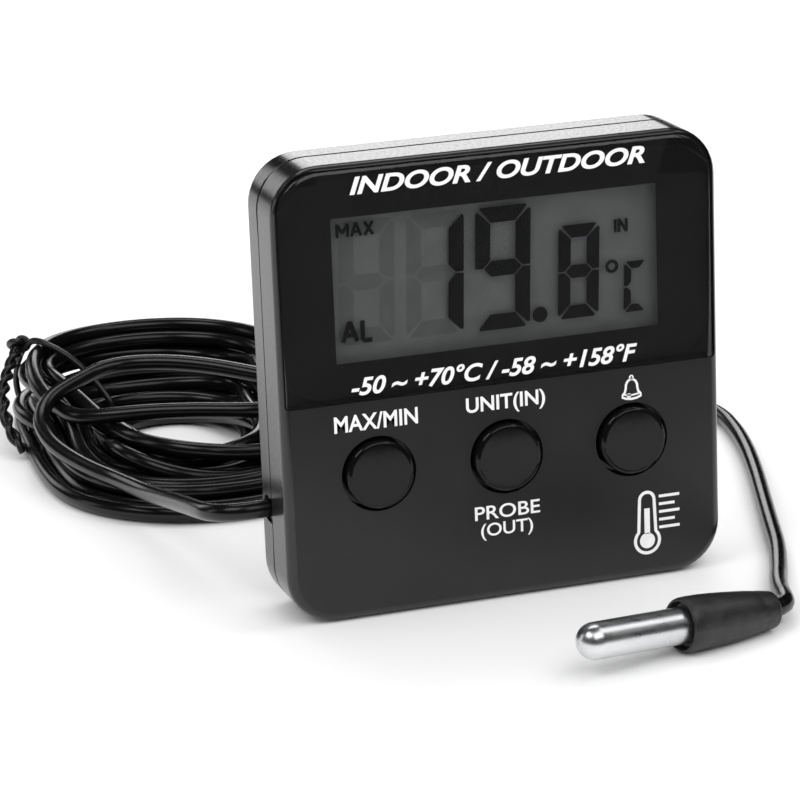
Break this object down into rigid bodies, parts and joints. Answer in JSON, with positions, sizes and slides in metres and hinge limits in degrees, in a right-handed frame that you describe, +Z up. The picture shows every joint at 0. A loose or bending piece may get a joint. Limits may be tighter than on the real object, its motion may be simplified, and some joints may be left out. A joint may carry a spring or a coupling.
{
  "type": "maximum_minimum_thermometer",
  "caption": "Black digital maximum minimum thermometer with a large display, round push buttons, a fold-out stand and a long coiled cord to a steel-tipped probe",
  "frame": {"origin": "middle of the outline of the case, at the height of the flat base that it stands on", "axes": "+X to the right as seen from the front, +Y from the display to the back, +Z up"},
  "size_m": [0.1202, 0.1808, 0.07],
  "materials": {
    "case_black": "fine matte texture, moulded black ABS",
    "lens_smoke": "clear and black glossy acrylic with a rounded rim",
    "mask_black": "black printed border",
    "lcd_glass": "grey display glass with black segments",
    "lcd_reflector": "grey reflector film",
    "inner_plastic": "plain moulded black plastic",
    "zebra_rubber": "layered contact rubber",
    "board_green": "green solder mask on glass fibre",
    "resin_black": "black resin",
    "steel": "nickel plated steel",
    "component_tan": "ceramic chips with tinned ends",
    "plunger_cream": "cream switch plunger",
    "button_gloss": "glossy black cap",
    "battery_wrap": "plain printed battery wrap, metal ends",
    "wire_red": "PVC insulated wire",
    "cord_black": "glossy black PVC jacket",
    "tie_black": "plastic coated wire tie",
    "sleeve_rubber": "matte black rubber",
    "tip_steel": "polished stainless steel",
    "potting_resin": "brown resin"
  },
  "bodies": {
    "case": {"front_cover": "case_black", "rear_cover": "case_black", "display_lens": "lens_smoke", "display_mask": "mask_black", "lcd_front_glass": "lcd_glass", "lcd_rear_glass": "lcd_glass", "lcd_reflector": "lcd_reflector", "lcd_frame": "inner_plastic", "zebra_strip": "zebra_rubber", "circuit_board": "board_green", "driver_chip": "resin_black", "timing_crystal": "steel", "board_components": "component_tan", "alarm_buzzer": "inner_plastic", "air_sensor": "resin_black", "switch_body_1": "inner_plastic", "switch_body_2": "inner_plastic", "switch_body_3": "inner_plastic", "board_screws": "steel", "case_screws": "steel", "battery_cell": "battery_wrap", "battery_contact_positive": "steel", "battery_spring_negative": "steel", "battery_wires": "wire_red", "cord_grommet": "cord_black", "cord_jacket_end": "cord_black", "cord_cores": "wire_red", "cord_lead": "cord_black", "cord_hank": "cord_black", "cord_tail": "cord_black", "cord_tie": "tie_black", "probe_sleeve": "sleeve_rubber", "probe_tip": "tip_steel", "probe_sensor": "resin_black", "probe_potting": "potting_resin"},
    "max_min_button": {"button_max_min": "button_gloss", "switch_plunger_1": "plunger_cream"},
    "in_out_button": {"button_in_out": "button_gloss", "switch_plunger_2": "plunger_cream"},
    "alarm_button": {"button_alarm": "button_gloss", "switch_plunger_3": "plunger_cream"},
    "door": {"battery_door": "case_black"},
    "stand": {"fold_out_stand": "case_black"}
  },
  "joints": [
    {"name": "max_min_press", "type": "slide", "parent": "case", "child": "max_min_button", "axis": [0, 1, 0], "range_m": [0, 0.0008], "stiffness_N_per_m": 300, "springref_m": -0.001},
    {"name": "in_out_press", "type": "slide", "parent": "case", "child": "in_out_button", "axis": [0, 1, 0], "range_m": [0, 0.0008], "stiffness_N_per_m": 300, "springref_m": -0.001},
    {"name": "alarm_press", "type": "slide", "parent": "case", "child": "alarm_button", "axis": [0, 1, 0], "range_m": [0, 0.0008], "stiffness_N_per_m": 300, "springref_m": -0.001},
    {"name": "battery_door_slide", "type": "slide", "parent": "case", "child": "door", "axis": [1, 0, 0], "range_m": [0, 0.012]},
    {"name": "stand_hinge", "type": "hinge", "parent": "case", "child": "stand", "pos_m": [0, 0.0063, 0.018], "axis": [-1, 0, 0], "range_deg": [0, 123]}
  ]
}
